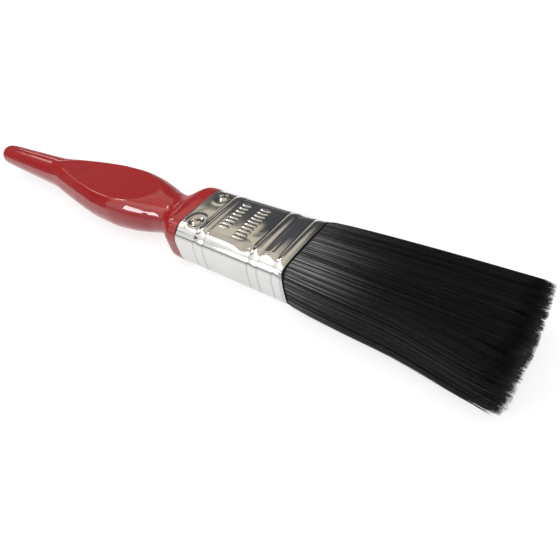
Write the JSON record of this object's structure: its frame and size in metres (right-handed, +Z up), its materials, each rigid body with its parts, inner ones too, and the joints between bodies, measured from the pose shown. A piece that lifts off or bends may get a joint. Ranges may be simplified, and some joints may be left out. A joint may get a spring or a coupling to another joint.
{
  "type": "flat paint brush",
  "caption": "Flat paint brush for painting trim: waisted red lacquered handle, beaded stainless ferrule nailed on, black bristle that bends.",
  "frame": {"origin": "on the surface the brush lies on, under the middle of its length and width", "axes": "+X along the brush towards the bristle tips, +Y across its width, +Z up out of the upper broad face"},
  "size_m": [0.2239, 0.029, 0.0161],
  "materials": {
    "lacquered_wood": "deep red high-gloss lacquer over turned wood",
    "ferrule_steel": "mirror-rolled stainless steel",
    "nail_steel": "bright drawn steel",
    "setting_resin": "amber epoxy",
    "filler_wood": "raw softwood",
    "black_bristle": "black bristle, brown at the flagged tips"
  },
  "bodies": {
    "handle_and_ferrule": {"handle": "lacquered_wood", "ferrule": "ferrule_steel", "nail_upper_left": "nail_steel", "nail_upper_right": "nail_steel", "nail_lower_left": "nail_steel", "nail_lower_right": "nail_steel", "resin_setting": "setting_resin", "filler_strip": "filler_wood", "bristle_roots_upper": "black_bristle", "bristle_roots_lower": "black_bristle"},
    "bristle": {"bristle_bank_upper": "black_bristle", "bristle_bank_lower": "black_bristle"}
  },
  "joints": [
    {"name": "bristle_bend", "type": "hinge", "parent": "handle_and_ferrule", "child": "bristle", "pos_m": [0.0641, 0, 0.00805], "axis": [0, -1, 0], "range_deg": [-30, 30], "stiffness_Nm_per_rad": 0.6}
  ]
}
